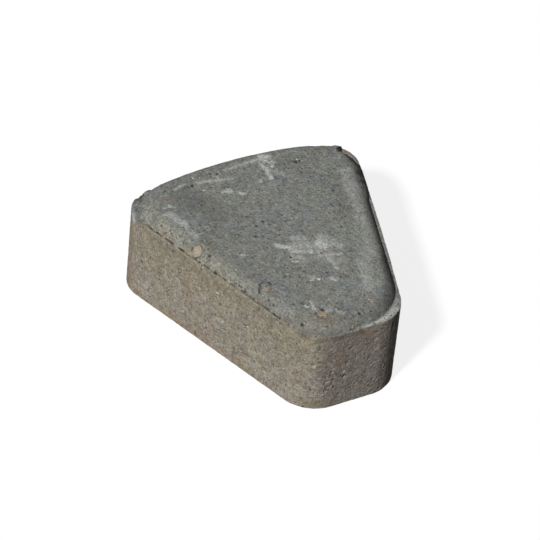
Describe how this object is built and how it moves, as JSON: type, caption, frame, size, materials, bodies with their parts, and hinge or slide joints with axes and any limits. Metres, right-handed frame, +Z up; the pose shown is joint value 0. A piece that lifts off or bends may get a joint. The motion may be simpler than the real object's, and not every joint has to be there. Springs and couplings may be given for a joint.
{
  "type": "wedge paving stone",
  "caption": "Wedge-shaped pressed concrete paving stone for laying rings, with rounded corners and a raised top field whose soft shoulder falls to a narrow ledge.",
  "frame": {"origin": "centre of the stone's length and width, on the flat bed face it rests on", "axes": "+Z up out of the top field; +Y along the length, from the straight narrow end to the curved wide end; +X across"},
  "size_m": [0.1462, 0.162, 0.06],
  "materials": {
    "pressed_concrete": "bare pressed concrete, fine grained, dark grey on top and warmer brownish grey on the sides"
  },
  "bodies": {
    "root": {"paving_stone": "pressed_concrete"}
  },
  "joints": []
}
